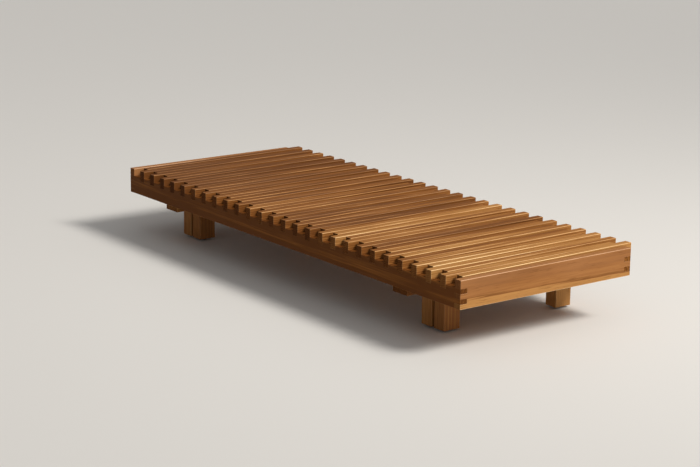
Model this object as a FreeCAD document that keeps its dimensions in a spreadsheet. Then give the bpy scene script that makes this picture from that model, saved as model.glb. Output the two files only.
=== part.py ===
import FreeCAD, Part
import os

# A low slatted hardwood platform on short posts.
# Two long rails and two end boards are finger-jointed into a frame. Flush slats run from face to face of
# the frame, let into notches of both long rails. Offset slats stand between them, shifted backwards by
# slat_shift: they start behind the front rail and run out past the back rail.
# Millimetres, Z up, X along the platform, Y from front to back, origin on the floor under the middle.

slotCount = 27      # spaces between neighbouring flush slats, end boards counted as slats
fingerRows = 4      # rail and board fingers together, below the slots
slatsPerNode = 2    # flush slats are kept as pairs of separate solids

sizeRows = [
    # alias, value, what it is
    ("slot_count", str(slotCount), "spaces between flush slats"),
    ("finger_rows", str(fingerRows), "fingers in one corner"),
    ("slat_pitch", "65", "spacing of the flush slats"),
    ("slat_thickness", "25", "slat width seen from above"),
    ("slat_height", "38", "slat height at its front end"),
    ("slat_length", "660", "length of every slat, and width of the frame"),
    ("slat_rise", "5", "how much higher an offset slat is at its back end"),
    ("slat_shift", "34", "how far the offset slats stand back"),
    ("slot_depth", "25", "from slat tops down to the top edge of the rails"),
    ("board_thickness", "25", "end boards"),
    ("rail_thickness", "25", "long rails"),
    ("frame_height", "85", "end boards, top to bottom"),
    ("ledger_width", "40", "batten behind the front rail, front to back"),
    ("ledger_height", "22", "batten behind the front rail"),
    ("bearer_width", "68", "flat cross bearers under the rails"),
    ("bearer_height", "15", "flat cross bearers under the rails"),
    ("bearer_gap", "3", "from the outer post to the bearer"),
    ("post_width", "46", "posts, along the platform"),
    ("post_depth", "60", "posts, front to back"),
    ("post_gap", "12", "between the two front posts of a pair"),
    ("post_inset", "186", "from the end of the frame to the outer post"),
    ("post_setback", "100", "from the front face of the frame to the front posts"),
    ("back_setback", "60", "from the back face of the frame to the back posts"),
    ("leg_height", "132", "floor to the underside of the frame"),
    ("foot_height", "6", "round feet"),
    ("foot_radius", "8", "round feet"),
    ("frame_length", "=slat_pitch * slot_count + slat_thickness", "over both end boards"),
    ("frame_top", "=leg_height + frame_height", "height of the flush slat tops"),
    ("whole_depth", "=slat_length + slat_shift", "front rail to the ends of the offset slats"),
    ("rail_height", "=frame_height - slot_depth", "long rails"),
    ("finger_height", "=rail_height / finger_rows", "one finger"),
    ("slat_base", "=frame_top - slat_height", "height of all slat undersides"),
    ("first_slat", "=-frame_length / 2", "left face of the left end board"),
    ("front_face", "=-whole_depth / 2", "front face of the front rail"),
    ("inside_length", "=frame_length - 2 * board_thickness", "between the end boards"),
    ("inside_width", "=slat_length - 2 * rail_thickness", "between the rails"),
    ("cross_rail_height", "=frame_height - slat_height - ledger_height", "under the batten"),
]

doc = FreeCAD.newDocument("SlattedPlatform")
sheet = doc.addObject("Spreadsheet::Sheet", "Sizes")
for number, (alias, value, note) in enumerate(sizeRows, 1):
    sheet.set("A%d" % number, note)
    sheet.set("B%d" % number, value)
    sheet.setAlias("B%d" % number, alias)
doc.recompute()

pieces = []


def named(piece, label):
    """Mark a finished piece: its label is also its file name."""
    piece.Label = label
    pieces.append(piece)
    return piece


def formula(text):
    """Turn words such as slat_pitch into references to the sheet of sizes."""
    for alias in sorted((row[0] for row in sizeRows), key=len, reverse=True):
        text = text.replace("{" + alias + "}", "Sizes." + alias)
    return text


def place(piece, corner):
    for axis, text in zip("xyz", corner):
        piece.setExpression("Placement.Base." + axis, formula(text))


def box(name, sides, corner):
    """A block with its lowest corner at corner; sides run along X, Y and Z."""
    block = doc.addObject("Part::Box", name)
    for side, text in zip(("Length", "Width", "Height"), sides):
        block.setExpression(side, formula(text))
    place(block, corner)
    return block


def cut(name, base, tools):
    together = doc.addObject("Part::Compound", name + "Tools")
    together.Links = tools
    result = doc.addObject("Part::Cut", name)
    result.Base = base
    result.Tool = together
    result.Refine = True
    return result


def slatLeft(step):
    """Left face of the slat that stands step pitches from the left end."""
    return "{first_slat} + %s * {slat_pitch}" % step


def fingerBase(row):
    """Height of the underside of a finger; row 0 is the highest."""
    return "{frame_top} - {slot_depth} - %d * {finger_height}" % (row + 1)


boardEnds = {"left": "{first_slat}", "right": "-{first_slat} - {board_thickness}"}
railFaces = {"front": "{front_face}", "back": "{front_face} + {slat_length} - {rail_thickness}"}
boardRows = range(1, fingerRows, 2)
railRows = range(0, fingerRows, 2)
flushSteps = [str(step) for step in range(1, slotCount)]
offsetSteps = ["%d.5" % step for step in range(slotCount)]

# Long rails, with board fingers cut out of their ends and a notch under each slat that crosses them.
notchSteps = {"front": flushSteps, "back": flushSteps + offsetSteps}
for face, faceY in railFaces.items():
    blank = box(face + "RailBlank", ("{frame_length}", "{rail_thickness}", "{rail_height}"),
                ("{first_slat}", faceY, "{leg_height}"))
    tools = []
    for end, endX in boardEnds.items():
        for row in boardRows:
            tools.append(box("%sRailFinger%s%d" % (face, end, row),
                             ("{board_thickness}", "{rail_thickness}", "{finger_height}"),
                             (endX, faceY, fingerBase(row))))
    for number, step in enumerate(notchSteps[face]):
        tools.append(box("%sRailNotch%d" % (face, number),
                         ("{slat_thickness}", "{rail_thickness}", "{slat_height}"),
                         (slatLeft(step), faceY, "{slat_base}")))
    named(cut(face + "Rail", blank, tools), face + "_rail")

# End boards, with rail fingers cut out of both ends.
for end, endX in boardEnds.items():
    blank = box(end + "BoardBlank", ("{board_thickness}", "{slat_length}", "{frame_height}"),
                (endX, "{front_face}", "{leg_height}"))
    tools = []
    for face, faceY in railFaces.items():
        for row in railRows:
            tools.append(box("%sBoardFinger%s%d" % (end, face, row),
                             ("{board_thickness}", "{rail_thickness}", "{finger_height}"),
                             (endX, faceY, fingerBase(row))))
    named(cut(end + "Board", blank, tools), "end_board_" + end)

# Flush slats, two separate solids in one node.
for first in range(0, len(flushSteps), slatsPerNode):
    pair = []
    for step in flushSteps[first:first + slatsPerNode]:
        pair.append(box("FlushSlat" + step, ("{slat_thickness}", "{slat_length}", "{slat_height}"),
                        (slatLeft(step), "{front_face}", "{slat_base}")))
    node = doc.addObject("Part::Compound", "FlushPair%d" % first)
    node.Links = pair
    named(node, "flush_slats_%02d_%02d" % (first + 1, first + len(pair)))

# Offset slats, level underneath and rising a little towards the back on top.
for number, step in enumerate(offsetSteps, 1):
    slat = doc.addObject("Part::Wedge", "OffsetSlat%d" % number)
    for corner in ("Xmin", "X2min", "Ymin", "Zmin", "Z2min"):
        setattr(slat, corner, 0)
    for corner, text in (("Xmax", "{slat_thickness}"), ("X2max", "{slat_thickness}"),
                         ("Ymax", "{slat_length}"), ("Zmax", "{slat_height}"),
                         ("Z2max", "{slat_height} + {slat_rise}")):
        slat.setExpression(corner, formula(text))
    place(slat, (slatLeft(step), "{front_face} + {slat_shift}", "{slat_base}"))
    named(slat, "offset_slat_%02d" % number)

# Batten behind the front rail, under the front ends of the offset slats.
named(box("Ledger", ("{inside_length}", "{ledger_width}", "{ledger_height}"),
          ("{first_slat} + {board_thickness}", "{front_face} + {rail_thickness}",
           "{slat_base} - {ledger_height}")), "front_ledger")

# At each end: a cross rail inside the frame, a flat bearer under it, and the posts.
outerInset = "{post_inset}"
bearerInset = "{post_inset} + {post_width} + {bearer_gap}"
innerInset = "{post_inset} + {post_width} + {post_gap}"


def fromEnd(end, inset, width):
    """Left face of something that lies inset from one end of the frame."""
    if end == "left":
        return "{first_slat} + " + inset
    return "-{first_slat} - (%s) - %s" % (inset, width)


frontPost = "{front_face} + {post_setback}"
backPost = "{front_face} + {slat_length} - {back_setback} - {post_depth}"
feet = []


def post(end, face, kind, inset, startY, top):
    """A post on its round foot."""
    leftX = fromEnd(end, inset, "{post_width}")
    block = box("Post" + end + face + kind, ("{post_width}", "{post_depth}", "%s - {foot_height}" % top),
                (leftX, startY, "{foot_height}"))
    named(block, "_".join(word for word in ("post", face, end, kind) if word))
    foot = doc.addObject("Part::Cylinder", "Foot%d" % len(feet))
    foot.setExpression("Radius", formula("{foot_radius}"))
    foot.setExpression("Height", formula("{foot_height}"))
    place(foot, (leftX + " + {post_width} / 2", startY + " + {post_depth} / 2", "0"))
    feet.append(foot)


for end in boardEnds:
    named(box("CrossRail" + end, ("{post_width}", "{inside_width}", "{cross_rail_height}"),
              (fromEnd(end, outerInset, "{post_width}"), "{front_face} + {rail_thickness}",
               "{leg_height}")), "cross_rail_" + end)
    named(box("Bearer" + end, ("{bearer_width}", "{slat_length}", "{bearer_height}"),
              (fromEnd(end, bearerInset, "{bearer_width}"), "{front_face}",
               "{leg_height} - {bearer_height}")), "bearer_" + end)
    post(end, "front", "outer", outerInset, frontPost, "{leg_height}")
    post(end, "front", "inner", innerInset, frontPost, "{leg_height} - {bearer_height}")
    post(end, "back", "", outerInset, backPost, "{leg_height}")

footGroup = doc.addObject("Part::Compound", "FeetGroup")
footGroup.Links = feet
named(footGroup, "round_feet")

doc.recompute()

os.makedirs("parts", exist_ok=True)
for item in doc.Objects:
    if "Invalid" in item.State or "Error" in item.State:
        raise RuntimeError("bad object " + item.Label)
for piece in pieces:
    if piece.Shape.isNull() or not piece.Shape.isValid():
        raise RuntimeError("bad shape " + piece.Label)
    piece.Shape.exportStep("parts/" + piece.Label + ".step")
    bounds = piece.Shape.BoundBox
    print(piece.Label, len(piece.Shape.Solids), round(piece.Shape.Volume / 1000, 1),
          [round(edge, 1) for edge in (bounds.XMin, bounds.XMax, bounds.YMin, bounds.YMax, bounds.ZMin,
                                       bounds.ZMax)])
print(len(pieces), "nodes")
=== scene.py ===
import math

import bmesh
import bpy
from mathutils import Matrix, Vector


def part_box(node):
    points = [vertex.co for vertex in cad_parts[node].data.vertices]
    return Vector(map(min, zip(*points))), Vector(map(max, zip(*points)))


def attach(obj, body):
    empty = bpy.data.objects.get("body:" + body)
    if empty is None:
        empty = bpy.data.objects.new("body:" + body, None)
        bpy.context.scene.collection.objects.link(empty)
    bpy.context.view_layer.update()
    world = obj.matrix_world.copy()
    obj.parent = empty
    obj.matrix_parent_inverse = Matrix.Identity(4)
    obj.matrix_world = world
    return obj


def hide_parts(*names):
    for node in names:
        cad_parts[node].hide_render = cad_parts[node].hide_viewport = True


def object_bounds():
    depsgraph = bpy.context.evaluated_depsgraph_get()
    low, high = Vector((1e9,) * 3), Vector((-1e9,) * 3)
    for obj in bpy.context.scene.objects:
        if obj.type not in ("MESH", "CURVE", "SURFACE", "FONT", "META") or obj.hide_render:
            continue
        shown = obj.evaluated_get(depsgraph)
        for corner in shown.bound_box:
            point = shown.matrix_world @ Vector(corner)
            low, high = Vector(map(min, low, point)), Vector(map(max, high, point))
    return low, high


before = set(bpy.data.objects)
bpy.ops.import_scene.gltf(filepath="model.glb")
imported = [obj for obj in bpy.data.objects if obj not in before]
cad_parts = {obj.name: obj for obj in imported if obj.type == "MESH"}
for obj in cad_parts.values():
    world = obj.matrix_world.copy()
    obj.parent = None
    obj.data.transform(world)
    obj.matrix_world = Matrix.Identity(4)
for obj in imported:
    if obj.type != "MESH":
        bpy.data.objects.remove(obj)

cadBox = [list(corner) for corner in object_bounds()]
print("frame loaded,", len(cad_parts), "nodes")


# shader sums written as Python

class Wire:    # an output socket that can stand in a sum
    def __init__(self, sheet, socket):
        self.sheet = sheet
        self.socket = socket

    def maths(self, operation, first, second):
        return self.sheet.add("Math", {"operation": operation}, {0: first, 1: second})

    def __add__(self, other):
        return self.maths("ADD", self, other)

    def __radd__(self, other):
        return self.maths("ADD", other, self)

    def __sub__(self, other):
        return self.maths("SUBTRACT", self, other)

    def __rsub__(self, other):
        return self.maths("SUBTRACT", other, self)

    def __mul__(self, other):
        return self.maths("MULTIPLY", self, other)

    def __rmul__(self, other):
        return self.maths("MULTIPLY", other, self)

    def __truediv__(self, other):
        return self.maths("DIVIDE", self, other)


class NodeSheet:    # the nodes of one material or world
    def __init__(self, owner, ending="OutputMaterial"):
        owner.use_nodes = True
        self.owner = owner
        self.ending = ending
        self.tree = owner.node_tree
        self.tree.nodes.clear()

    def add(self, kind, settings=None, values=None, out=0):
        node = self.tree.nodes.new("ShaderNode" + kind)
        for setting, value in (settings or {}).items():
            if setting == "stops":
                self.setStops(node.color_ramp.elements, value)
            else:
                setattr(node, setting, value)
        for socket, value in (values or {}).items():
            if isinstance(value, Wire):
                self.tree.links.new(value.socket, node.inputs[socket])
            else:
                node.inputs[socket].default_value = value
        return Wire(self, node.outputs[out]) if node.outputs else None

    def setStops(self, elements, stops):
        while len(elements) < len(stops):
            elements.new(1.0)
        for element, (position, colour) in zip(elements, stops):
            element.position = position
            element.color = (*colour, 1.0)

    def split(self, vector):
        node = self.add("SeparateXYZ", values={0: vector}).socket.node
        return [Wire(self, socket) for socket in node.outputs]

    def join(self, across, along, up):
        return self.add("CombineXYZ", values={0: across, 1: along, 2: up})

    def single(self, operation, value):
        return self.add("Math", {"operation": operation}, {0: value})

    def larger(self, first, second):
        return self.add("Math", {"operation": "MAXIMUM"}, {0: first, 1: second})

    def step(self, value, low, high):    # 0 below low, 1 above high, soft between
        return self.add("MapRange", {"interpolation_type": "SMOOTHSTEP"},
                        {0: value, 1: low, 2: high, 3: 0.0, 4: 1.0})

    def blend(self, factor, first, second, way="MIX"):
        return self.add("Mix", {"data_type": "RGBA", "blend_type": way},
                        {0: factor, 6: first, 7: second}, out=2)

    def tint(self, factor, first, colour, way="MIX"):    # blend towards a plain colour
        return self.blend(factor, first, (*colour, 1.0), way)

    def noise(self, place, detail=2.0, rough=0.5, scale=1.0):
        return self.add("TexNoise", values={
            "Vector": place, "Scale": scale, "Detail": detail, "Roughness": rough})

    def finishWith(self, shader):
        self.add(self.ending, values={0: shader})
        return self.owner


# oiled hardwood, grain along one axis of the frame

woodLook = {
    "tones": (0.0, 0.33, 0.62, 1.0),       # where brown, russet, honey and straw are pure
    "brown": (0.135, 0.045, 0.010),
    "russet": (0.270, 0.099, 0.021),
    "honey": (0.410, 0.181, 0.048),
    "straw": (0.570, 0.298, 0.094),
    "rose": (0.425, 0.195, 0.078),
    "roseEdge": (0.40, 0.80),              # noise levels between which rose, streaks and pores rise
    "streakEdge": (0.38, 0.62),
    "poreEdge": (0.58, 0.70),
    "fingerEnd": (0.90, 0.90, 0.88),       # end grain against the face: the rails' fingers, and the other ends, darkened as painted shade for the slats' front ends in shade
    "sawnEnd": (0.44, 0.38, 0.33),         # and the other ends, which drank more oil
    "arrisGain": (2.15, 3.05, 5.20),       # how much paler the eased edges are: partly handling wear, partly painted highlight, less so round the ends of a piece, to keep the painted highlight off front ends in shade
    "rimShade": 0.8,                       # less so round the ends of a piece
    "poreShade": 0.38,
    "roughness": 0.48,
    "roughSpread": 0.18,
    "endRougher": 0.16,
    "arrisSmoother": 0.06,
    "specular": 0.03,
    "bumpStrength": 0.30,
    "bumpDistance": 0.0004,
}

toneDepth = {        # how far each pattern moves the tone
    "figure": 0.70,
    "rings": 0.28,
    "streaks": 0.20,
    "fibres": 0.36,
    "timber": 0.34,        # between one piece of timber and the next
    "blotch": 0.35,
}

reliefDepth = {      # shares of the bump
    "fibres": 0.6,
    "rings": 0.35,
    "pores": 0.7,
}

patterns = {         # noise cells a metre across and along the grain, detail, roughness
    "wave": (5.0, 1.7, 1.5, 0.5),
    "figure": (36.0, 1.2, 4.0, 0.62),
    "streaks": (170.0, 3.5, 3.0, 0.6),
    "fibres": (520.0, 11.0, 2.0, 0.6),
    "pores": (430.0, 20.0, 2.0, 0.5),
    "blotch": (9.0, 2.3, 2.0, 0.5),
}

diceShift = {        # how far the dice of a piece move its patterns
    "row": 17.0,           # from one row of cells to the next
    "all": 40.0,
    "figure": 30.0,
    "rose": 0.3,
}

rings = {
    "wander": 0.012,       # how far they wave, metres
    "heartSide": 0.10,     # how far the heart strays sideways and outwards from piece to piece
    "heartOut": 0.06,
    "rise": (0.15, 0.86),  # slow darkening through a ring, and its sudden end
    "fall": (0.0, 0.14),
    "meanLate": 0.28,
}

faceTurn = {         # part of the normal at which a face starts and ends to count
    "end": (0.62, 0.80),
    "rim": (0.20, 0.55),
    "arris": (0.01, 0.07),     # here what the largest part lacks of 1
}

paleSlatsAndPaintedLight = {        # half-pitch cells from the left end: one group of slats sawn from paler boards, painted light near the right end, painted shade towards the left end
    "group": (33.0, 35.0, 39.0, 40.0),
    "end": (42.0, 49.0),
    "groupGain": 0.24,
    "endGain": 0.37,
    "left": (0.0, 44.0),    # cells over which painted shade darkens them towards the left end
    "loss": 0.28,
}

sapLook = {          # a paler band along the lower edge of a board, in metres
    "wave": 0.030,
    "fray": 0.004,
    "lineFrom": -0.005,    # a dark line above the band
    "lineTo": 0.001,
    "lineShade": 0.6,
    "soft": 0.004,
    "share": 0.28,
    "figureShare": 0.40,
}


def makeWood(name, along, seed, stepX=4.0, fromX=-2.0, stepY=4.0, fromY=-2.0, middleUp=0.17,
             heartOut=0.03, ringStep=0.006, tone=0.50, rosy=0.12, wear=0.95,
             endGrain="sawnEnd", pale=None, sapwood=None):
    sheet = NodeSheet(bpy.data.materials.new(name))
    look = woodLook
    x, y, z = sheet.split(sheet.add("TexCoord", out="Object"))

    # every piece of timber is a cell of the plan, with its own dice
    placeX, placeY = (x - fromX) / stepX, (y - fromY) / stepY
    cellX, cellY = sheet.single("FLOOR", placeX), sheet.single("FLOOR", placeY)
    localX = (placeX - cellX - 0.5) * stepX
    localY = (placeY - cellY - 0.5) * stepY
    localZ = z - middleUp
    dice = sheet.add("TexWhiteNoise", {"noise_dimensions": "1D"},
                     {"W": cellX + cellY * diceShift["row"] + seed}, out="Color")
    diceA, diceB, diceC = sheet.split(dice)

    # turn to timber directions: across, along, up
    directions = {"X": (localY, x, localZ), "Y": (localX, y, localZ), "Z": (localX, z, localY)}
    across, length, up = directions[along]
    shift = diceA * diceShift["all"]

    def pattern(kind, moveAcross, moveAlong, moveUp):
        wide, long, detail, rough = patterns[kind]
        place = sheet.join(across * wide + moveAcross, length * long + moveAlong, up * wide + moveUp)
        return sheet.noise(place, detail=detail, rough=rough)

    # growth rings round a heart that lies beside the piece and waves along it
    wave = pattern("wave", shift, shift, 0.0)
    heart = sheet.join(across + (diceA - 0.5) * rings["heartSide"], 0.0,
                       up + heartOut + diceB * rings["heartOut"])
    radius = sheet.add("VectorMath", {"operation": "LENGTH"}, {0: heart}, out="Value")
    saw = sheet.single("FRACT", (radius + (wave - 0.5) * rings["wander"]) / ringStep)
    late = sheet.step(saw, *rings["rise"]) * sheet.step(1.0 - saw, *rings["fall"])

    # broad figure, fine fibres and short pores, all drawn out along the grain
    figure = pattern("figure", shift, diceB * diceShift["figure"], 0.0)
    streaks = sheet.step(pattern("streaks", shift, 0.0, shift), *look["streakEdge"])
    fibres = pattern("fibres", 0.0, shift, 0.0)
    pores = sheet.step(pattern("pores", 0.0, shift, 0.0), *look["poreEdge"])
    blotch = pattern("blotch", shift, 0.0, shift)

    # faces: which look along the grain, and which are eased arrises
    normal = sheet.split(sheet.add("NewGeometry", out="True Normal"))
    sides = [sheet.single("ABSOLUTE", part) for part in normal]
    lengthwise = sides["XYZ".index(along)]
    endOn = sheet.step(lengthwise, *faceTurn["end"])
    rim = sheet.step(lengthwise, *faceTurn["rim"])
    flattest = sheet.larger(sheet.larger(sides[0], sides[1]), sides[2])
    eased = sheet.step(1.0 - flattest, *faceTurn["arris"])

    tone = (tone + (figure - 0.5) * toneDepth["figure"]
            - (late - rings["meanLate"]) * toneDepth["rings"]
            + (streaks - 0.5) * toneDepth["streaks"] + (fibres - 0.5) * toneDepth["fibres"]
            + (diceC - 0.5) * toneDepth["timber"] + (blotch - 0.5) * toneDepth["blotch"])
    # a paler group of boards; painted light towards the right end and painted shade towards the left end
    if pale:
        rise, top, fall, gone = pale["group"]
        group = sheet.step(cellX, rise, top) * (1.0 - sheet.step(cellX, fall, gone))
        tone = tone + group * pale["groupGain"] + sheet.step(cellX, *pale["end"]) * pale["endGain"]
        tone = tone - (1.0 - sheet.step(cellX, *pale["left"])) * pale["loss"]
    stops = zip(look["tones"], (look[word] for word in ("brown", "russet", "honey", "straw")))
    colour = sheet.add("ValToRGB", {"stops": tuple(stops)}, {0: tone})
    flush = sheet.step(blotch + diceB * diceShift["rose"], *look["roseEdge"])
    colour = sheet.tint((0.5 + flush * 0.5) * rosy, colour, look["rose"])
    if sapwood:
        edge = (sapwood["height"] + (blotch - 0.5) * sapLook["wave"] + (streaks - 0.5) * sapLook["fray"]
                - up - (length - sapwood["from"]) * sapwood["slope"])
        past = sheet.step(edge, 0.0, sapLook["lineTo"])
        line = sheet.step(edge, sapLook["lineFrom"], 0.0) * (1.0 - past)
        share = sapLook["share"] + figure * sapLook["figureShare"]
        band = sheet.step(edge, 0.0, sapLook["soft"]) * share
        colour = sheet.tint(line * sapLook["lineShade"], colour, look["brown"])
        colour = sheet.tint(band, colour, look["straw"])
    colour = sheet.tint(pores * look["poreShade"], colour, look["brown"])
    colour = sheet.tint(endOn, colour, look[endGrain], "MULTIPLY")
    # eased edges made paler: partly handling wear, partly painted highlight; held back round the ends
    wornAndHighlit = eased * (1.0 - rim * look["rimShade"]) * wear
    colour = sheet.tint(wornAndHighlit, colour, look["arrisGain"], "MULTIPLY")

    rough = (look["roughness"] + (fibres - 0.5) * look["roughSpread"]
             + endOn * look["endRougher"] - eased * look["arrisSmoother"])
    height = (fibres * reliefDepth["fibres"] + late * reliefDepth["rings"]
              - pores * reliefDepth["pores"])
    bump = sheet.add("Bump", values={
        "Strength": look["bumpStrength"], "Distance": look["bumpDistance"], "Height": height})
    shader = sheet.add("BsdfPrincipled", values={
        "Base Color": colour, "Roughness": rough, "Normal": bump,
        "Specular IOR Level": look["specular"]})
    return sheet.finishWith(shader)


# prisms: an outline pushed along one axis, with eased arrises

easing = {
    "width": 0.0016,        # widest arris, metres
    "longEdge": 0.20,       # edges at least this long get all of it
    "segments": 3,
    "sharpAngle": 0.3,      # radians; below it an edge stays as it is
    "slats": 0.9,           # shares of the short edges of slats, frame and underframe
    "frame": 0.22,
    "under": 0.8,
}

pushAxes = {            # outline axes (first, second) and the axis it is pushed along
    "X": (1, 2, 0),
    "Y": (0, 2, 1),
    "Z": (0, 1, 2),
}


def addPrism(mesh, outline, axis, low, high):
    first, second, third = pushAxes[axis]
    rows = []
    for level in (low, high):
        row = []
        for u, v in outline:
            place = [0.0, 0.0, 0.0]
            place[first], place[second], place[third] = u, v, level
            row.append(mesh.verts.new(place))
        rows.append(row)
    mesh.faces.new(rows[0])
    mesh.faces.new(rows[1])
    for number in range(len(outline)):
        after = (number + 1) % len(outline)
        mesh.faces.new((rows[0][number], rows[0][after], rows[1][after], rows[1][number]))


def makePiece(name, prisms, material, nodes, share):
    mesh = bmesh.new()
    for prism in prisms:
        addPrism(mesh, *prism)
    bmesh.ops.recalc_face_normals(mesh, faces=mesh.faces)
    weights = mesh.edges.layers.float.new("bevel_weight_edge")
    for face in mesh.faces:
        face.smooth = True
    for edge in mesh.edges:
        if edge.calc_face_angle() < easing["sharpAngle"]:
            continue
        if edge.is_convex:
            long = edge.calc_length() >= easing["longEdge"]
            edge[weights] = 1.0 if long else share
        else:
            edge.smooth = False
    data = bpy.data.meshes.new(name)
    mesh.to_mesh(data)
    mesh.free()
    data.materials.append(material)
    piece = bpy.data.objects.new(name, data)
    bpy.context.scene.collection.objects.link(piece)
    bevel = piece.modifiers.new("arris", "BEVEL")
    bevel.limit_method = "WEIGHT"
    bevel.width = easing["width"]
    bevel.segments = easing["segments"]
    normals = piece.modifiers.new("flats", "WEIGHTED_NORMAL")
    normals.keep_sharp = True
    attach(piece, "root")
    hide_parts(*nodes)
    return piece


def rectangle(low, high, first, second):
    return [(low[first], low[second]), (high[first], low[second]),
            (high[first], high[second]), (low[first], high[second])]


slatRun = {
    "pitch": 0.065,         # flush slat to flush slat
    "thickness": 0.025,
    "count": 27,            # offset slats; one fewer flush slat
}

leftFace = cadBox[0][0]
halfPitch = slatRun["pitch"] / 2
sideGap = (halfPitch - slatRun["thickness"]) / 2
slatWood = makeWood("slatWood", "Y", 3.0, stepX=halfPitch, fromX=leftFace - sideGap,
                    middleUp=0.198, tone=0.33, pale=paleSlatsAndPaintedLight)


def slatFace(number):    # left face of the slat that stands number pitches in
    return leftFace + number * slatRun["pitch"]


for node in sorted(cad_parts):
    low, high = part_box(node)
    if node.startswith("flush_slats"):
        outline = rectangle(low, high, 1, 2)
        prisms = [(outline, "X", low.x, low.x + slatRun["thickness"]),
                  (outline, "X", high.x - slatRun["thickness"], high.x)]
        makePiece("flushSlats" + node[len("flush_slats"):], prisms, slatWood, [node],
                  easing["slats"])
    elif node.startswith("offset_slat"):
        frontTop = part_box("flush_slats_01_02")[1].z    # level at the front, a little higher at the back
        outline = [(low.y, low.z), (high.y, low.z), (high.y, high.z), (low.y, frontTop)]
        makePiece("offsetSlat" + node[len("offset_slat"):], [(outline, "X", low.x, high.x)], slatWood,
                  [node], easing["slats"])
print("slats made")


# long rails and end boards, finger-jointed

joint = {
    "rows": 4,              # rail and board fingers together
    "slotDepth": 0.025,     # from slat tops down to the rails' top edge
    "notchDepth": 0.013,    # how far the slats are let into the rails
    "straight": 1e-9,       # square metres; less than this is a straight run
}

boardLow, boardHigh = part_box("end_board_right")
thick = boardHigh.x - boardLow.x
baseZ, topZ = boardLow.z, boardHigh.z
railTop = topZ - joint["slotDepth"]
finger = (railTop - baseZ) / joint["rows"]


def fingerSteps(inner, outer, rowsCut):    # stepped end, from the bottom up; cut rows stop at inner
    points = []
    for row in reversed(range(joint["rows"])):
        reach = inner if row in rowsCut else outer
        under = railTop - (row + 1) * finger
        points += [(reach, under), (reach, under + finger)]
    return points


def tidied(points):    # drops repeated points and points in the middle of a straight run
    kept = []
    for number, point in enumerate(points):
        before, after = points[number - 1], points[(number + 1) % len(points)]
        cross = ((point[0] - before[0]) * (after[1] - point[1])
                 - (point[1] - before[1]) * (after[0] - point[0]))
        if abs(cross) > joint["straight"]:
            kept.append(point)
    return kept


def railOutline(low, high, slatLefts):
    right = fingerSteps(high.x - thick, high.x, (1, 3))
    left = fingerSteps(low.x + thick, low.x, (1, 3))
    top = []
    for start in sorted(slatLefts, reverse=True):
        end = start + slatRun["thickness"]
        floor = railTop - joint["notchDepth"]
        top += [(end, railTop), (end, floor), (start, floor), (start, railTop)]
    return tidied(right + top + left[::-1])


def boardOutline(low, high):
    back = fingerSteps(high.y - thick, high.y, (0, 2))
    front = fingerSteps(low.y + thick, low.y, (0, 2))
    top = [(high.y, railTop), (high.y, topZ), (low.y, topZ), (low.y, railTop)]
    return tidied(back + top + front[::-1])


paleEdge = {        # height above or below the board's middle, and how it falls along the board
    "end_board_right": {"height": -0.0125, "from": -0.347, "slope": 0.018},
    "end_board_left": {"height": -0.034, "from": 0.0, "slope": -0.008},
}
flushPlaces = [slatFace(number) for number in range(1, slatRun["count"])]
offsetPlaces = [slatFace(number + 0.5) for number in range(slatRun["count"])]
frameParts = {
    # the front rail's low tone is painted shade: it faces away from the lamps
    "front_rail": ("frontRail", "X", 11.0, 0.19, flushPlaces),
    "back_rail": ("backRail", "X", 23.0, 0.30, flushPlaces + offsetPlaces),
    "end_board_left": ("endBoardLeft", "Y", 31.0, 0.40, None),
    "end_board_right": ("endBoardRight", "Y", 47.0, 0.46, None),
}
for node, (name, along, seed, tone, places) in frameParts.items():
    low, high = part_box(node)
    if places:
        look = {"rosy": 0.0, "wear": 0.50, "endGrain": "fingerEnd"}
        prism = (railOutline(low, high, places), "Y", low.y, high.y)
    else:
        look = {"rosy": 0.75, "wear": 0.95, "sapwood": paleEdge[node]}
        prism = (boardOutline(low, high), "X", low.x, high.x)
    wood = makeWood(name + "Wood", along, seed, middleUp=(baseZ + topZ) / 2, heartOut=0.10,
                    ringStep=0.012, tone=tone, **look)
    makePiece(name, [prism], wood, [node], easing["frame"])
print("frame made")


# under the frame: batten, cross rails, bearers, posts and glides

innerLow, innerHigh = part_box("post_front_left_inner")
outerLow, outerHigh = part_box("post_front_left_outer")
bearerLow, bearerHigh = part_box("bearer_left")
postSlit = (outerHigh.x + innerLow.x) / 2        # between the two posts of a pair
railSlit = (outerHigh.x + bearerLow.x) / 2       # between cross rail and bearer
runWood = {
    "X": makeWood("battenWood", "X", 59.0, middleUp=0.166, tone=0.40),
    "Y": makeWood("bearerWood", "Y", 61.0, stepX=-railSlit, fromX=railSlit, middleUp=0.13,
                  tone=0.40, wear=0.40),
    "Z": makeWood("postWood", "Z", 73.0, stepX=-postSlit, fromX=postSlit, middleUp=0.06,
                  tone=0.52, rosy=0.35, wear=0.40),
}
# a paler copy of the post wood for the back posts: painted light where the lamps reach them and not the
# front posts
backPostWood = makeWood("backPostWood", "Z", 79.0, stepX=-postSlit, fromX=postSlit, middleUp=0.06,
                        tone=0.88, rosy=0.40, wear=0.40)
underParts = {"front_ledger": "X", "cross_rail": "Y", "bearer": "Y", "post": "Z"}
for node in sorted(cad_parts):
    for start, along in underParts.items():
        if node.startswith(start):
            low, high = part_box(node)
            words = node.split("_")
            name = words[0] + "".join(word.title() for word in words[1:])
            first, second, third = pushAxes[along]
            prism = (rectangle(low, high, first, second), along, low[third], high[third])
            wood = backPostWood if node.startswith("post_back") else runWood[along]
            makePiece(name, [prism], wood, [node], easing["under"])

glide = {
    "radius": 0.008,
    "steps": 32,
    "profile": ((0.60, 0.0), (0.84, 0.05), (0.96, 0.20), (1.0, 0.40),    # shares of radius, height
                (1.0, 0.80), (0.88, 0.84), (0.88, 1.0)),
    "colour": (0.150, 0.085, 0.042),
    "speck": (0.230, 0.145, 0.080),
    "grain": 900.0,
    "roughness": 0.55,
    "roughSpread": 0.2,
    "bumpStrength": 0.2,
    "bumpDistance": 0.0002,
}


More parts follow.
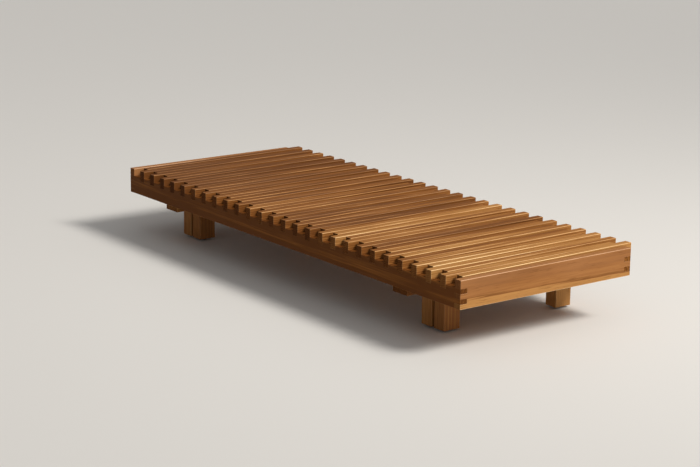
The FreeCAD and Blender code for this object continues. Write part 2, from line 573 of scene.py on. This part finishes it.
def makeGlidePlastic():
    sheet = NodeSheet(bpy.data.materials.new("glidePlastic"))
    grains = sheet.noise(sheet.add("TexCoord", out="Object"), detail=3.0, scale=glide["grain"])
    colour = sheet.blend(grains, (*glide["colour"], 1.0), (*glide["speck"], 1.0))
    rough = glide["roughness"] + (grains - 0.5) * glide["roughSpread"]
    bump = sheet.add("Bump", values={
        "Strength": glide["bumpStrength"], "Distance": glide["bumpDistance"], "Height": grains})
    return sheet.finishWith(sheet.add("BsdfPrincipled", values={
        "Base Color": colour, "Roughness": rough, "Normal": bump}))


def makeGlides():
    mesh = bmesh.new()
    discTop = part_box("round_feet")[1].z
    angles = [math.tau * step / glide["steps"] for step in range(glide["steps"])]
    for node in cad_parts:
        if not node.startswith("post"):
            continue
        low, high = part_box(node)
        middleX, middleY = (low.x + high.x) / 2, (low.y + high.y) / 2
        hoops = []
        for out, up in glide["profile"]:
            reach = glide["radius"] * out
            hoops.append([mesh.verts.new((middleX + reach * math.cos(angle),
                                          middleY + reach * math.sin(angle), discTop * up))
                          for angle in angles])
        mesh.faces.new(hoops[0][::-1])
        mesh.faces.new(hoops[-1])
        for lower, upper in zip(hoops, hoops[1:]):
            for number in range(glide["steps"]):
                after = (number + 1) % glide["steps"]
                mesh.faces.new((lower[number], lower[after], upper[after], upper[number])).smooth = True
    data = bpy.data.meshes.new("footGlides")
    mesh.to_mesh(data)
    mesh.free()
    data.materials.append(makeGlidePlastic())
    piece = bpy.data.objects.new("footGlides", data)
    bpy.context.scene.collection.objects.link(piece)
    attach(piece, "root")
    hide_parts("round_feet")


makeGlides()
print("posts and glides made")


# floor, room light, lamps and the photo's camera

studio = {
    "floorSize": 60.0,
    "floorColour": (0.78, 0.77, 0.75),
    "floorRoughness": 0.6,
    "lampTarget": (0.0, 0.0, 0.2),
    "skyColour": (1.0, 0.98, 0.96),
    "skyFrom": (0.70, 0.60, 0.40),     # the brighter side of the room
    "skyDim": 0.06,
    "skyBright": 0.52,
}

lamps = {
    "sun": {"kind": "SUN", "place": (3.1, 2.5, 4.0), "strength": 1.75,
            "colour": (1.0, 0.96, 0.90), "spread": 17.0},
    "key": {"kind": "AREA", "place": (2.9, 2.3, 3.7), "strength": 32.0,
            "colour": (1.0, 0.95, 0.88), "size": (1.3, 1.0), "spread": 100.0},
}

photoView = {
    "stand": (4.8780, -3.7574, 1.6560),     # metres
    "turn": -52.841,                        # degrees round Z from +Y
    "dip": 14.026,                          # degrees below level
    "lean": 0.863,                          # degrees of roll
    "focal": 1959.2,                        # in pixels of a picture this wide
    "pictureWidth": 700,
    "sensor": 36.0,
}


def makeFloor():
    sheet = NodeSheet(bpy.data.materials.new("paleFloor"))
    pale = sheet.add("BsdfPrincipled", values={
        "Base Color": (*studio["floorColour"], 1.0), "Roughness": studio["floorRoughness"]})
    beneath = sheet.add("NewGeometry", out="Backfacing")
    clear = sheet.add("BsdfTransparent")
    shader = sheet.add("MixShader", values={0: beneath, 1: pale, 2: clear})
    data = bpy.data.meshes.new("floor")
    half = studio["floorSize"] / 2
    corners = [(-half, -half, 0.0), (half, -half, 0.0), (half, half, 0.0), (-half, half, 0.0)]
    data.from_pydata(corners, [], [(0, 1, 2, 3)])
    data.materials.append(sheet.finishWith(shader))
    floor = bpy.data.objects.new("floor", data)
    bpy.context.scene.collection.objects.link(floor)


def makeSky():
    sheet = NodeSheet(bpy.data.worlds.new("studio"), "OutputWorld")
    bpy.context.scene.world = sheet.owner
    way = sheet.add("TexCoord", out="Generated")
    facing = sheet.add("VectorMath", {"operation": "DOT_PRODUCT"},
                       {0: way, 1: Vector(studio["skyFrom"]).normalized()}, out="Value")
    level = sheet.add("MapRange", values={
        0: facing, 1: -1.0, 2: 1.0, 3: studio["skyDim"], 4: studio["skyBright"]})
    soft = sheet.add("Background", values={"Color": (*studio["skyColour"], 1.0), "Strength": level})
    seen = sheet.add("Background", values={"Color": (1.0, 1.0, 1.0, 1.0)})
    cameraRay = sheet.add("LightPath", out="Is Camera Ray")
    sheet.finishWith(sheet.add("MixShader", values={0: cameraRay, 1: soft, 2: seen}))


def makeLamps():
    for name, look in lamps.items():
        data = bpy.data.lights.new(name, look["kind"])
        data.energy = look["strength"]
        data.color = look["colour"]
        if look["kind"] == "SUN":
            data.angle = math.radians(look["spread"])
        else:
            data.shape = "RECTANGLE"
            data.size, data.size_y = look["size"]
            data.spread = math.radians(look["spread"])
        lamp = bpy.data.objects.new(name, data)
        bpy.context.scene.collection.objects.link(lamp)
        lamp.location = look["place"]
        aim = Vector(studio["lampTarget"]) - Vector(look["place"])
        lamp.rotation_euler = aim.to_track_quat("-Z", "Y").to_euler()


def makeCamera():
    turn, dip, lean = (math.radians(photoView[word]) for word in ("turn", "dip", "lean"))
    ahead = Vector((math.sin(turn) * math.cos(dip), math.cos(turn) * math.cos(dip), -math.sin(dip)))
    right = Vector((math.cos(turn), -math.sin(turn), 0.0))
    over = right.cross(ahead)
    leanRight = math.cos(lean) * right + math.sin(lean) * over
    leanOver = math.cos(lean) * over - math.sin(lean) * right
    data = bpy.data.cameras.new("photoCamera")
    data.sensor_width = photoView["sensor"]
    data.lens = photoView["sensor"] * photoView["focal"] / photoView["pictureWidth"]
    camera = bpy.data.objects.new("photoCamera", data)
    bpy.context.scene.collection.objects.link(camera)
    turned = Matrix((leanRight, leanOver, -ahead)).transposed().to_4x4()
    camera.matrix_world = Matrix.Translation(photoView["stand"]) @ turned
    bpy.context.scene.camera = camera


makeFloor()
makeSky()
makeLamps()
makeCamera()
bpy.context.scene.view_settings.view_transform = "Standard"
print("studio made")
